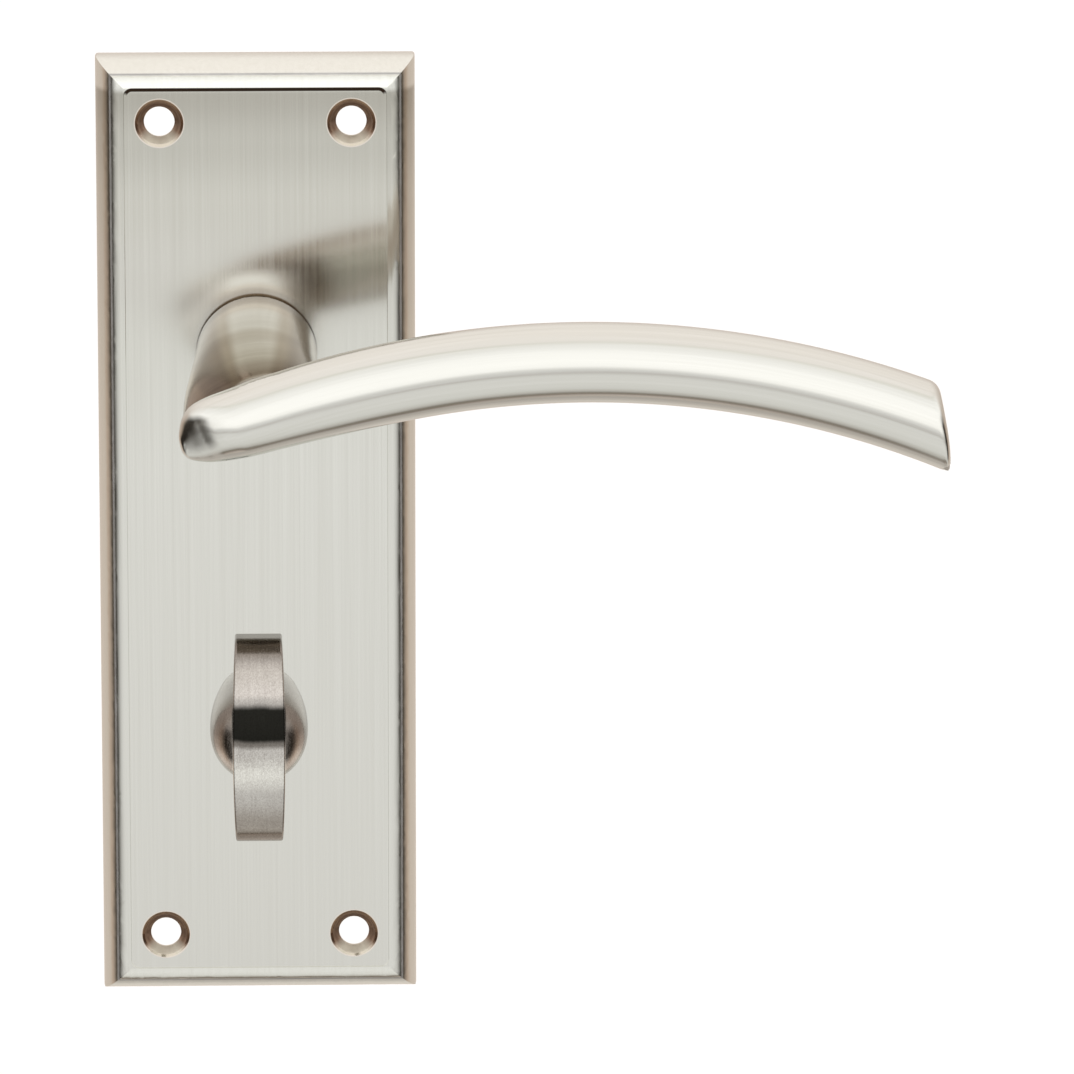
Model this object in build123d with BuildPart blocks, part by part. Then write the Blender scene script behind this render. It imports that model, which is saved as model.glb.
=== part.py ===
from build123d import *
import os
from math import radians, degrees, sin, cos, atan2, sqrt

os.makedirs("parts", exist_ok=True)

# Door lever handle on a bathroom backplate. Millimetres, +Z up, the lever points to +X and the
# front faces -Y. The origin is where the lever's turning axis meets the door face (y = 0).

# ---- backplate
plate_w = 50.0            # X
plate_h = 152.0           # Z
plate_d = 6.5             # door face to front face
plate_cz = -29.0          # centre of the plate below the lever axis
edge_wall = 0.8           # straight wall at the door before the convex bevel
bevel_w = 4.5             # width of the convex bevel
corner_r = 0.5            # plan radius of the corners
crest_w, crest_d = 4.4, 6.74   # the bevel's crest stands just proud of the face
rim_w = 2.3               # rim that lies on the door
wall_t = 2.2              # front wall
cavity_y = -(plate_d - wall_t)
screw_dx, screw_dz = 30.0, 132.0
screw_r, csk_r = 2.4, 3.8
turn_z = -57.0            # lever axis to thumb-turn axis, the common bathroom-lock centre

# ---- lever
arc_cx, arc_cz = 50.4, -137.8   # centre of the arm's arc
arc_r = 146.2
arm_hh, arm_hd = 6.2, 4.7       # half height and half depth of the oval section
arm_y = -49.5
neck_r = 9.5
neck_y0 = -7.15
journal_r = 7.0
journal_end = 2.0
flat_half = 5.6                 # half distance across the journal's flats
lever_sq, lever_bar, lever_bar_len = 8.1, 8.0, 105.0
lever_range = 45.0

# ---- thumb-turn
turn_y0 = -7.1
turn_jr = 5.0
turn_end = 1.0
turn_sq, turn_bar, turn_bar_len = 5.04, 5.0, 64.0

# ---- spring pack behind the lever
post_r = 10.0
post_y = -1.5
bush_r = 8.1
wire_d = 0.95
coil_r = 10.9
cam_r = 13.2
cam_t = 1.0
arm_dir = -112.5          # where the stop arm points at rest, turning positive from +X towards -Z
arm_half = 3.0
arm_len = 17.0
stop_gap = 0.05


def polar(a_deg, r):
    """X and Z of a point at radius r, in the turning sense of +Y."""
    return r * cos(radians(a_deg)), -r * sin(radians(a_deg))


# the spring's two straight legs leave the coil along its tangents
fix_a, mov_a = 96.0, 94.0           # where the coil's front and back ends are
leg_l = 9.6
hold_l = 8.0                        # distance along a leg to where it is held
peg_out = wire_d / 2 + 1.7
fix_nx, fix_nz = polar(fix_a, 1.0)
fix_x = polar(fix_a, coil_r)[0] + polar(fix_a - 90, hold_l)[0]
fix_z = polar(fix_a, coil_r)[1] + polar(fix_a - 90, hold_l)[1]
mov_nx, mov_nz = polar(mov_a, 1.0)
mov_x = polar(mov_a, coil_r)[0] + polar(mov_a + 90, hold_l)[0]
mov_z = polar(mov_a, coil_r)[1] + polar(mov_a + 90, hold_l)[1]

# =====================================================================================
# backplate: hollow casting with a mitred convex bevel
# =====================================================================================
half_w, half_h = plate_w / 2, plate_h / 2
with BuildPart() as backplate:
    # width profile along Z
    with BuildSketch(Plane.XY.offset(plate_cz - half_h)):
        with BuildLine():
            Line((-half_w, 0), (half_w, 0))
            Line((half_w, 0), (half_w, -edge_wall))
            EllipticalCenterArc((half_w - crest_w, -edge_wall), crest_w, crest_d - edge_wall, start_angle=270, arc_size=90)
            Line((half_w - crest_w, -crest_d), (-(half_w - crest_w), -crest_d))
            EllipticalCenterArc((-(half_w - crest_w), -edge_wall), crest_w, crest_d - edge_wall, start_angle=180, arc_size=90)
            Line((-half_w, -edge_wall), (-half_w, 0))
        make_face()
    extrude(amount=plate_h)
    # height profile along X, local x is Y and local y is Z
    with BuildSketch(Plane.YZ.offset(-half_w)):
        with BuildLine():
            z0, z1 = plate_cz - half_h, plate_cz + half_h
            Line((0, z0), (0, z1))
            Line((0, z1), (-edge_wall, z1))
            EllipticalCenterArc((-edge_wall, z1 - crest_w), crest_d - edge_wall, crest_w, start_angle=90, arc_size=90)
            Line((-crest_d, z1 - crest_w), (-crest_d, z0 + crest_w))
            EllipticalCenterArc((-edge_wall, z0 + crest_w), crest_d - edge_wall, crest_w, start_angle=180, arc_size=90)
            Line((-edge_wall, z0), (0, z0))
        make_face()
    extrude(amount=plate_w, mode=Mode.INTERSECT)
    # rounded corners
    with BuildSketch(Plane.XZ):
        with Locations((0, plate_cz)):
            RectangleRounded(plate_w, plate_h, corner_r)
    extrude(amount=crest_d + 1.0, mode=Mode.INTERSECT)
    # the flat face, sunk a little below the crest inside a steep quirk with rounded corners
    with BuildSketch(Plane.XZ.offset(plate_d)):
        with Locations((0, plate_cz)):
            RectangleRounded(plate_w - 2 * bevel_w, plate_h - 2 * bevel_w, 1.3)
    extrude(amount=crest_d - plate_d + 0.02, taper=-15, mode=Mode.SUBTRACT)
    # hollow back, deep pocket then a shallower step that keeps the wall even under the bevel
    with BuildSketch(Plane.XZ):
        with Locations((0, plate_cz)):
            RectangleRounded(plate_w - 2 * rim_w, plate_h - 2 * rim_w, 2.0)
    extrude(amount=3.0, mode=Mode.SUBTRACT)
    with BuildSketch(Plane.XZ.offset(3.0)):
        with Locations((0, plate_cz)):
            RectangleRounded(plate_w - 2 * rim_w, plate_h - 2 * rim_w, 2.0)
    extrude(amount=-cavity_y - 3.0, taper=45, mode=Mode.SUBTRACT)
    # spring post round the lever bore, pad round the turn bore
    with BuildSketch(Plane.XZ.offset(-post_y)):
        Circle(post_r)
    extrude(amount=-cavity_y + post_y)
    with BuildSketch(Plane.XZ.offset(2.4)):
        with Locations((0, turn_z)):
            Circle(8.6)
    extrude(amount=-cavity_y - 2.4)
    # pads under the four screws
    with BuildSketch(Plane.XZ.offset(3.7)):
        with Locations((0, plate_cz)):
            with GridLocations(screw_dx, screw_dz, 2, 2):
                Circle(6.2)
    extrude(amount=-cavity_y - 3.7)
    # stiffening ribs
    with BuildSketch(Plane.XZ.offset(2.2)):
        with Locations((-14.5, -31.0), (14.5, -31.0)):
            Rectangle(1.4, 27.0)
        with Locations((-11.0, -79.5), (11.0, -79.5)):
            Rectangle(1.4, 19.0)
        with Locations((0, -72.0)):
            Rectangle(38.0, 1.4)
        with Locations((0, 28.5)):
            Rectangle(32.0, 1.4)
    extrude(amount=-cavity_y - 2.2)
    # stop lugs, one beside the resting stop arm and one beside it at full travel
    for a_arm, side in ((arm_dir, -1), (arm_dir + lever_range, 1)):
        ux, uz = polar(a_arm, 1.0)
        vx, vz = polar(a_arm + 90, 1.0)
        off = side * (arm_half + stop_gap + 2.0)
        with BuildSketch(Plane.XZ.offset(0.4)):
            with Locations((ux * 16.2 + vx * off, uz * 16.2 + vz * off)):
                Rectangle(4.4, 4.0, rotation=degrees(atan2(uz, ux)))
        extrude(amount=-cavity_y - 0.4)
    # anchor peg on the outer side of the spring's fixed leg
    with BuildSketch(Plane.XZ.offset(1.2)):
        with Locations((fix_x + peg_out * fix_nx, fix_z + peg_out * fix_nz)):
            Circle(1.7)
    extrude(amount=-cavity_y - 1.2)
    # ejector marks of the die casting
    with BuildSketch(Plane.XZ.offset(-cavity_y)):
        with Locations((-17.0, -50.0), (17.0, -50.0), (-17.0, -90.0), (17.0, -90.0), (0, 39.0)):
            Circle(1.9)
    extrude(amount=0.15, mode=Mode.SUBTRACT)
    # bores for the two bushes
    with BuildSketch(Plane.XZ.offset(-1)):
        Circle(bush_r)
        with Locations((0, turn_z)):
            Circle(6.1)
    extrude(amount=plate_d + 2, mode=Mode.SUBTRACT)
    # countersunk screw holes from the front
    for sx in (-screw_dx / 2, screw_dx / 2):
        for sz in (plate_cz - screw_dz / 2, plate_cz + screw_dz / 2):
            with Locations(Plane(origin=(sx, -plate_d, sz), x_dir=(1, 0, 0), z_dir=(0, -1, 0))):
                CounterSinkHole(radius=screw_r, counter_sink_radius=csk_r, depth=4.0, counter_sink_angle=90)
    # short land in the screw holes, opened out behind
    with BuildSketch(Plane.XZ.offset(3.7)):
        with Locations((0, plate_cz)):
            with GridLocations(screw_dx, screw_dz, 2, 2):
                Circle(3.2)
    extrude(amount=0.8, taper=45, mode=Mode.SUBTRACT)
    bore_edges = backplate.edges().filter_by(GeomType.CIRCLE).filter_by_position(Axis.Y, -plate_d - 0.01, -plate_d + 0.01)
    chamfer(bore_edges.filter_by(lambda e: abs(e.radius - 6.1) < 0.01 or abs(e.radius - bush_r) < 0.01), 0.25)
backplate.part.label = "backplate"
export_step(backplate.part, "parts/backplate.step")

# =====================================================================================
# lever handle: arched oval arm, round neck, journal with a square socket
# =====================================================================================
# stations along the arc: angle from the vertical, mid radius, half height, half depth, mid y
stations = [
    (-24.98, 146.40, 0.80, 0.75, -49.6),
    (-24.86, 146.65, 1.75, 1.65, -49.6),
    (-24.60, 146.95, 2.70, 2.50, -49.55),
    (-24.12, 147.32, 3.85, 3.45, -49.5),
    (-23.47, 147.46, 4.72, 4.10, -49.5),
    (-22.56, 147.28, 5.20, 4.45, -49.5),
    (-21.25, 146.92, 5.52, 4.60, -49.5),
    (-19.40, 146.65, 5.75, 4.68, -49.5),
    (-17.20, 146.45, 5.97, 4.70, -49.5),
    (-14.50, 146.28, 6.14, 4.70, -49.5),
    (-11.00, 146.20, 6.22, 4.70, -49.5),
    (-5.00, 146.20, 6.23, 4.70, -49.5),
    (0.00, 146.20, 6.22, 4.70, -49.5),
    (6.00, 146.20, 6.20, 4.70, -49.5),
    (12.00, 146.20, 6.18, 4.70, -49.5),
    (18.00, 146.20, 6.15, 4.70, -49.5),
    (26.00, 146.20, 6.12, 4.70, -49.5),
]


def arc_plane(th, r, y):
    t = radians(th)
    return Plane(
        origin=(arc_cx + r * sin(t), y, arc_cz + r * cos(t)),
        x_dir=(sin(t), 0, cos(t)),
        z_dir=(cos(t), 0, -sin(t)),
    )


with BuildPart() as lever_handle:
    for th, r, hh, hd, ym in stations:
        with BuildSketch(arc_plane(th, r, ym)):
            Ellipse(hh, hd)
    loft()
    # the grip's end is cut a little off square
    end_n = (cos(radians(10.2)), 0, sin(radians(10.2)))
    split(bisect_by=Plane(origin=(105.4, arm_y, -2.05), x_dir=(0, 1, 0), z_dir=end_n), keep=Keep.BOTTOM)
    end_face = lever_handle.faces().filter_by(GeomType.PLANE).sort_by(Axis.X)[-1]
    fillet(end_face.edges(), 0.7)
    # neck, round at the foot and drawn out along the arm where it joins
    neck_sections = [
        (neck_y0, 0.0, 0.0, neck_r, neck_r, 0.0),
        (-14.0, -0.10, 0.0, 9.62, 9.40, 0.0),
        (-24.0, -0.35, -0.2, 10.10, 8.80, 8.0),
        (-35.0, -0.70, -0.6, 10.85, 7.40, 16.0),
        (-47.5, -0.30, -0.2, 10.20, 3.90, 20.5),
    ]
    for y, cx, cz, hx, hz, rot in neck_sections:
        with BuildSketch(Plane(origin=(cx, y, cz), x_dir=(cos(radians(rot)), 0, sin(radians(rot))), z_dir=(0, -1, 0))):
            Ellipse(hx, hz)
    loft()
    # journal behind the neck
    with BuildSketch(Plane.XZ.offset(-journal_end)):
        Circle(journal_r)
    extrude(amount=journal_end - neck_y0 + 1.0)
    # flats for the cam plate
    with BuildSketch(Plane.XZ.offset(-journal_end)):
        with Locations((flat_half + 2.5, 0), (-flat_half - 2.5, 0)):
            Rectangle(5.0, 16.0)
    extrude(amount=journal_end + 1.02, mode=Mode.SUBTRACT)
    # circlip groove
    with BuildSketch(Plane.XZ.offset(-1.05)):
        Circle(journal_r + 2)
        Circle(6.4, mode=Mode.SUBTRACT)
    extrude(amount=1.05, mode=Mode.SUBTRACT)
    # square socket for the spindle
    with BuildSketch(Plane.XZ.offset(-journal_end)):
        Rectangle(lever_sq, lever_sq)
    extrude(amount=journal_end + 31.0, mode=Mode.SUBTRACT)
    # tapped hole for the grub screw, from below
    with BuildSketch(Plane.XY.offset(-12.0)):
        with Locations((0, -15.0)):
            Circle(2.5)
    extrude(amount=9.0, mode=Mode.SUBTRACT)
lever_handle.part.label = "lever_handle"
export_step(lever_handle.part, "parts/lever_handle.step")

# =====================================================================================
# flanged bush in the plate for the lever
# =====================================================================================
with BuildPart() as lever_bush:
    with BuildSketch(Plane.XZ.offset(-post_y)):
        Circle(bush_r)
    extrude(amount=plate_d + post_y)
    with BuildSketch(Plane.XZ.offset(plate_d)):
        Circle(9.0)
    extrude(amount=0.6)
    with BuildSketch(Plane.XZ):
        Circle(journal_r + 0.05)
    extrude(amount=plate_d + 2, mode=Mode.SUBTRACT)
    chamfer(lever_bush.edges().filter_by(GeomType.CIRCLE).sort_by(Axis.Y)[-2:].sort_by(SortBy.RADIUS)[-1], 0.3)
    fillet(lever_bush.edges().filter_by(GeomType.CIRCLE).sort_by(Axis.Y)[:2].sort_by(SortBy.RADIUS)[-1], 0.2)
lever_bush.part.label = "lever_bush"
export_step(lever_bush.part, "parts/lever_bush.step")

# =====================================================================================
# thrust washer between the spring post and the cam plate
# =====================================================================================
with BuildPart() as lever_thrust_washer:
    with BuildSketch(Plane.XZ.offset(1.0)):
        Circle(9.6)
        Circle(journal_r + 0.15, mode=Mode.SUBTRACT)
    extrude(amount=0.45)
lever_thrust_washer.part.label = "lever_thrust_washer"
export_step(lever_thrust_washer.part, "parts/lever_thrust_washer.step")

# =====================================================================================
# torsion spring round the post
# =====================================================================================
turns = (mov_a + 720.0 - fix_a) / 360.0
pitch = 0.99
coil_y0 = cavity_y + wire_d / 2 + 0.17      # wire centre of the first turn
with BuildPart() as return_spring:
    with BuildLine() as wire_line:
        coil = Helix(pitch=pitch, height=pitch * turns, radius=coil_r, center=(0, coil_y0, 0), direction=(0, 1, 0))
        leg_a = Line(coil @ 0 - (coil % 0) * leg_l, coil @ 0)
        leg_b = Line(coil @ 1, coil @ 1 + (coil % 1) * leg_l)
    with BuildSketch(Plane(origin=leg_a @ 0, z_dir=leg_a % 0)):
        Circle(wire_d / 2)
    sweep(path=wire_line.line)
# the helix starts at the top: turn the finished spring so its fixed leg meets the peg
spring_part = return_spring.part.rotate(Axis.Y, fix_a + 90.0)
spring_part.label = "return_spring"
export_step(spring_part, "parts/return_spring.step")
# =====================================================================================
# cam plate on the journal's flats, with the stop arm and the spring tab
# =====================================================================================
with BuildPart() as spring_cam_plate:
    with BuildSketch(Plane.XZ.offset(0.1)):
        Circle(cam_r)
        ux, uz = polar(arm_dir, 1.0)
        with Locations((ux * arm_len / 2, uz * arm_len / 2)):
            Rectangle(arm_len, 2 * arm_half, rotation=degrees(atan2(uz, ux)))
        # ear that carries the spring tab
        with Locations((mov_x + mov_nx * 0.2, mov_z + mov_nz * 0.2)):
            Rectangle(4.4, 3.6, rotation=degrees(atan2(polar(mov_a + 90, 1.0)[1], polar(mov_a + 90, 1.0)[0])))
        Circle(journal_r + 0.03, mode=Mode.SUBTRACT)
        with Locations((flat_half + 0.03 + 2.0, 0), (-flat_half - 0.03 - 2.0, 0)):
            Rectangle(4.0, 12.0)
    extrude(amount=cam_t - 0.1)
    # tab bent forward on the outer side of the spring's moving leg
    tab_out = wire_d / 2 + 0.02 + 0.6
    with BuildSketch(Plane.XZ.offset(0.1)):
        with Locations((mov_x + mov_nx * tab_out, mov_z + mov_nz * tab_out)):
            Rectangle(3.2, 1.2, rotation=degrees(atan2(polar(mov_a + 90, 1.0)[1], polar(mov_a + 90, 1.0)[0])))
    extrude(amount=2.6)
spring_cam_plate.part.label = "spring_cam_plate"
export_step(spring_cam_plate.part, "parts/spring_cam_plate.step")

# =====================================================================================
# circlip on the lever's journal
# =====================================================================================
with BuildPart() as lever_circlip:
    with BuildSketch(Plane.XZ.offset(-1.0)):
        with Locations((0, -0.45)):
            Circle(8.75)
        with Locations((2.55, 8.05), (-2.55, 8.05)):
            Circle(1.75)
        Circle(6.42, mode=Mode.SUBTRACT)
        with Locations((2.65, 8.35), (-2.65, 8.35)):
            Circle(0.85, mode=Mode.SUBTRACT)
        with Locations((0, 8.0)):
            Rectangle(1.8, 8.0, mode=Mode.SUBTRACT)
    extrude(amount=1.0)
lever_circlip.part.label = "lever_circlip"
export_step(lever_circlip.part, "parts/lever_circlip.step")

# =====================================================================================
# 8 mm square spindle
# =====================================================================================
with BuildPart() as lever_spindle:
    with BuildSketch(Plane.XZ.offset(-(lever_bar_len - 30.0))):
        Rectangle(lever_bar, lever_bar)
    extrude(amount=lever_bar_len)
    chamfer(lever_spindle.faces().sort_by(Axis.Y)[0].edges() + lever_spindle.faces().sort_by(Axis.Y)[-1].edges(), 0.6)
lever_spindle.part.label = "lever_spindle"
export_step(lever_spindle.part, "parts/lever_spindle.step")

# =====================================================================================
# grub screw in the underside of the neck
# =====================================================================================
with BuildPart() as lever_grub_screw:
    with BuildSketch(Plane.XY.offset(-8.9)):
        with Locations((0, -15.0)):
            Circle(2.5)
    extrude(amount=8.9 - lever_bar / 2)
    chamfer(lever_grub_screw.faces().sort_by(Axis.Z)[0].edges(), 0.35)
    chamfer(lever_grub_screw.faces().sort_by(Axis.Z)[-1].edges(), 0.8)
    with BuildSketch(Plane.XY.offset(-8.9)):
        with Locations((0, -15.0)):
            RegularPolygon(radius=1.25, side_count=6, major_radius=False)
    extrude(amount=2.4, mode=Mode.SUBTRACT)
lever_grub_screw.part.label = "lever_grub_screw"
export_step(lever_grub_screw.part, "parts/lever_grub_screw.step")

# =====================================================================================
# thumb-turn: waisted domed boss with a bowed blade
# =====================================================================================
tip_d, bow_d, blade_half, blade_hw, blade_tip_hw = 23.9, 27.3, 16.4, 4.1, 3.62
fy = -plate_d
with BuildPart() as thumb_turn:
    # blade, drawn from the side; local x is Y and local y is Z
    with BuildSketch(Plane.YZ.offset(-blade_hw - 1)):
        with BuildLine():
            Line((fy - 10.0, turn_z - 5.0), (fy - 10.0, turn_z + 5.0))
            Spline((fy - 10.0, turn_z + 5.0), (fy - 14.0, turn_z + 9.6), (fy - 18.4, turn_z + blade_half), tangents=((-0.35, 1), (-0.35, 1)))
            Line((fy - 18.4, turn_z + blade_half), (fy - tip_d, turn_z + blade_half))
            ThreePointArc((fy - tip_d, turn_z + blade_half), (fy - bow_d, turn_z), (fy - tip_d, turn_z - blade_half))
            Line((fy - tip_d, turn_z - blade_half), (fy - 18.4, turn_z - blade_half))
            Spline((fy - 18.4, turn_z - blade_half), (fy - 14.0, turn_z - 9.6), (fy - 10.0, turn_z - 5.0), tangents=((0.35, 1), (0.35, 1)))
        make_face()
    extrude(amount=2 * blade_hw + 2)
    # its sides draw in a little towards the two tips
    with BuildSketch(Plane(origin=(0, fy, turn_z), x_dir=(1, 0, 0), z_dir=(0, -1, 0))):
        with BuildLine():
            Line((-blade_tip_hw, blade_half + 0.5), (blade_tip_hw, blade_half + 0.5))
            ThreePointArc((blade_tip_hw, blade_half + 0.5), (blade_hw, 0), (blade_tip_hw, -blade_half - 0.5))
            Line((blade_tip_hw, -blade_half - 0.5), (-blade_tip_hw, -blade_half - 0.5))
            ThreePointArc((-blade_tip_hw, -blade_half - 0.5), (-blade_hw, 0), (-blade_tip_hw, blade_half + 0.5))
        make_face()
    extrude(amount=30, mode=Mode.INTERSECT)
    # softened blade edges
    tips = thumb_turn.edges().filter_by(Axis.X).filter_by_position(Axis.Y, fy - tip_d - 0.1, fy - tip_d + 0.1)
    fillet(tips, 4.4)
    long_edges = thumb_turn.edges().filter_by(lambda e: abs(e.center().X) > 3.4 and e.center().Y < fy - tip_d - 0.5 and e.length > 10)
    fillet(long_edges, 0.35)
    # boss, revolved about the turn's own axis; local x is radius, local y is Y
    with BuildSketch(Plane(origin=(0, 0, turn_z), x_dir=(1, 0, 0), z_dir=(0, 0, 1))):
        with BuildLine():
            Line((0, turn_y0), (6.75, turn_y0))
            Spline((6.75, turn_y0), (7.05, fy - 3.2), (7.55, fy - 9.0), (7.68, fy - 15.0), (7.35, fy - 19.6), (6.2, fy - 22.6), (3.7, fy - 24.5), (0, fy - 25.2), tangents=((0.1, -1), (-1, 0)))
            Line((0, fy - 25.2), (0, turn_y0))
        make_face()
    revolve(axis=Axis((0, 0, turn_z), (0, 1, 0)))
    # stem behind the plate
    with BuildSketch(Plane.XZ.offset(-turn_end)):
        with Locations((0, turn_z)):
            Circle(turn_jr)
    extrude(amount=turn_end - turn_y0 + 1.0)
    with BuildSketch(Plane.XZ.offset(-0.15)):
        with Locations((0, turn_z)):
            Circle(turn_jr + 2)
            Circle(4.5, mode=Mode.SUBTRACT)
    extrude(amount=0.95, mode=Mode.SUBTRACT)
    with BuildSketch(Plane.XZ.offset(-turn_end)):
        with Locations((0, turn_z)):
            Rectangle(turn_sq, turn_sq)
    extrude(amount=turn_end + 14.0, mode=Mode.SUBTRACT)
thumb_turn.part.label = "thumb_turn"
export_step(thumb_turn.part, "parts/thumb_turn.step")

# =====================================================================================
# bush, washers, circlip and spindle of the turn
# =====================================================================================
with BuildPart() as turn_bush:
    with BuildSketch(Plane.XZ.offset(2.4)):
        with Locations((0, turn_z)):
            Circle(6.1)
    extrude(amount=plate_d - 2.4)
    with BuildSketch(Plane.XZ.offset(plate_d)):
        with Locations((0, turn_z)):
            Circle(6.45)
    extrude(amount=0.5)
    with BuildSketch(Plane.XZ):
        with Locations((0, turn_z)):
            Circle(turn_jr + 0.05)
    extrude(amount=plate_d + 2, mode=Mode.SUBTRACT)
turn_bush.part.label = "turn_bush"
export_step(turn_bush.part, "parts/turn_bush.step")

# wave washer: three waves, 0.25 mm strip
wave_n, wave_amp, wave_t = 3, 0.24, 0.25
wave_mid = -(2.4 - 0.05 - wave_amp - wave_t / 2)
with BuildPart() as turn_wave_washer:
    wr0, wr1 = turn_jr + 0.2, 7.6
    with BuildSketch(Plane.XZ.offset(-wave_mid - wave_amp - wave_t)):
        with Locations((0, turn_z)):
            Circle(wr1)
            Circle(wr0, mode=Mode.SUBTRACT)
    extrude(amount=2 * (wave_amp + wave_t))
    # radial cuts leave a strip that rises and falls round the ring
    steps = 12
    for i in range(steps):
        a0 = 360.0 * i / steps
        a1 = 360.0 * (i + 1) / steps
        h = [wave_mid + wave_amp * sin(radians(wave_n * a)) for a in (a0, a1)]
        p0 = polar(a0, 1.0)
        p1 = polar(a1, 1.0)
        half = (a0 + a1) / 2
        ex, ez = polar(half, 1.0)
        fxx, fzz = polar(half + 90, 1.0)
        reach = 9.0
        ha = reach * sin(radians(180.0 / steps)) / cos(radians(180.0 / steps))
        rm = 6.4
        hm = rm * sin(radians(180.0 / steps)) / cos(radians(180.0 / steps))
        slope = (h[1] - h[0]) / (2 * hm)
        hc = (h[0] + h[1]) / 2
        n = Vector(-slope * fxx, 1.0, -slope * fzz).normalized()
        base = Vector(ex * 6.4, 0, ez * 6.4) + Vector(0, 0, turn_z)
        for sgn in (-1, 1):
            pl = Plane(origin=base + Vector(0, hc, 0) + n * (sgn * wave_t / 2), x_dir=(ex, 0, ez), z_dir=n * sgn)
            with BuildSketch(pl):
                Polygon((-7.0, 0), (3.0, -ha * 1.06), (3.0, ha * 1.06), align=None)
            extrude(amount=1.2, mode=Mode.SUBTRACT)
turn_wave_washer.part.label = "turn_wave_washer"
export_step(turn_wave_washer.part, "parts/turn_wave_washer.step")

with BuildPart() as turn_washer:
    with BuildSketch(Plane.XZ.offset(0.8)):
        with Locations((0, turn_z)):
            Circle(7.8)
            Circle(turn_jr + 0.12, mode=Mode.SUBTRACT)
    extrude(amount=0.75)
turn_washer.part.label = "turn_washer"
export_step(turn_washer.part, "parts/turn_washer.step")

with BuildPart() as turn_circlip:
    with BuildSketch(Plane.XZ.offset(0.0)):
        with Locations((0, turn_z - 0.35)):
            Circle(6.35)
        with Locations((2.1, turn_z + 5.75), (-2.1, turn_z + 5.75)):
            Circle(1.4)
        with Locations((0, turn_z)):
            Circle(4.52, mode=Mode.SUBTRACT)
        with Locations((2.2, turn_z + 6.0), (-2.2, turn_z + 6.0)):
            Circle(0.65, mode=Mode.SUBTRACT)
        with Locations((0, turn_z + 6.0)):
            Rectangle(1.5, 6.0, mode=Mode.SUBTRACT)
    extrude(amount=0.8)
turn_circlip.part.label = "turn_circlip"
export_step(turn_circlip.part, "parts/turn_circlip.step")

with BuildPart() as turn_spindle:
    with BuildSketch(Plane.XZ.offset(-(turn_bar_len - 14.0))):
        with Locations((0, turn_z)):
            Rectangle(turn_bar, turn_bar)
    extrude(amount=turn_bar_len)
    chamfer(turn_spindle.faces().sort_by(Axis.Y)[0].edges() + turn_spindle.faces().sort_by(Axis.Y)[-1].edges(), 0.4)
turn_spindle.part.label = "turn_spindle"
export_step(turn_spindle.part, "parts/turn_spindle.step")

for b in (backplate.part, lever_handle.part, lever_bush.part, lever_thrust_washer.part, spring_part, spring_cam_plate.part,
          lever_circlip.part, lever_spindle.part, lever_grub_screw.part, thumb_turn.part, turn_bush.part,
          turn_wave_washer.part, turn_washer.part, turn_circlip.part, turn_spindle.part):
    bb = b.bounding_box()
    print(b.label, len(b.solids()), round(b.volume, 1), [round(v, 2) for v in (*bb.min, *bb.max)])
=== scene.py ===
import bpy, bmesh, math, random
import numpy as np
from mathutils import Vector, Matrix


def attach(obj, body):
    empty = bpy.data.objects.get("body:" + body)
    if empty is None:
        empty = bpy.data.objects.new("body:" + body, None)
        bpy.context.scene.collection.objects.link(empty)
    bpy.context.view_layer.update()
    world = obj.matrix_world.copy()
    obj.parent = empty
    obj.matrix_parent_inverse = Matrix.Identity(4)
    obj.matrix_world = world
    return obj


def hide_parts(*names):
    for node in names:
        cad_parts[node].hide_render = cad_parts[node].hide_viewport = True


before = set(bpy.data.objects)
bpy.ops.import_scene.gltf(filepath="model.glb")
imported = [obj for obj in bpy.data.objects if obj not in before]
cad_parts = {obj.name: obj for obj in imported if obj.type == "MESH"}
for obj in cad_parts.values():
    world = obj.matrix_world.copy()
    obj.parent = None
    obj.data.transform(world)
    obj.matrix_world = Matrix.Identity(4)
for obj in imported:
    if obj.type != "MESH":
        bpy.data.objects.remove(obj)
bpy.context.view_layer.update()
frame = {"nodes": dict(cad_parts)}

random.seed(7)
N = frame["nodes"]
mm = 0.001


# ------------------------------------------------------------------ node helpers
def new_mat(name):
    m = bpy.data.materials.new(name)
    m.use_nodes = True
    nt = m.node_tree
    for n in list(nt.nodes):
        nt.nodes.remove(n)
    out = nt.nodes.new("ShaderNodeOutputMaterial")
    b = nt.nodes.new("ShaderNodeBsdfPrincipled")
    nt.links.new(b.outputs[0], out.inputs[0])
    return m, nt, b


def node(nt, kind, **kw):
    n = nt.nodes.new(kind)
    for k, v in kw.items():
        setattr(n, k, v)
    return n


def link(nt, a, b):
    nt.links.new(a, b)


def mapping(nt, src, scale, loc=(0, 0, 0), rot=(0, 0, 0)):
    mp = node(nt, "ShaderNodeMapping")
    mp.inputs["Scale"].default_value = scale
    mp.inputs["Location"].default_value = loc
    mp.inputs["Rotation"].default_value = rot
    link(nt, src, mp.inputs["Vector"])
    return mp.outputs[0]


def noise(nt, vec, scale=1.0, detail=3.0, rough=0.55):
    n = node(nt, "ShaderNodeTexNoise")
    n.inputs["Scale"].default_value = scale
    n.inputs["Detail"].default_value = detail
    n.inputs["Roughness"].default_value = rough
    link(nt, vec, n.inputs["Vector"])
    return n.outputs["Fac"]


def maprange(nt, v, a, b, c, d, clamp=True):
    n = node(nt, "ShaderNodeMapRange", clamp=clamp)
    for i, x in zip((1, 2, 3, 4), (a, b, c, d)):
        n.inputs[i].default_value = x
    link(nt, v, n.inputs[0])
    return n.outputs[0]


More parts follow.
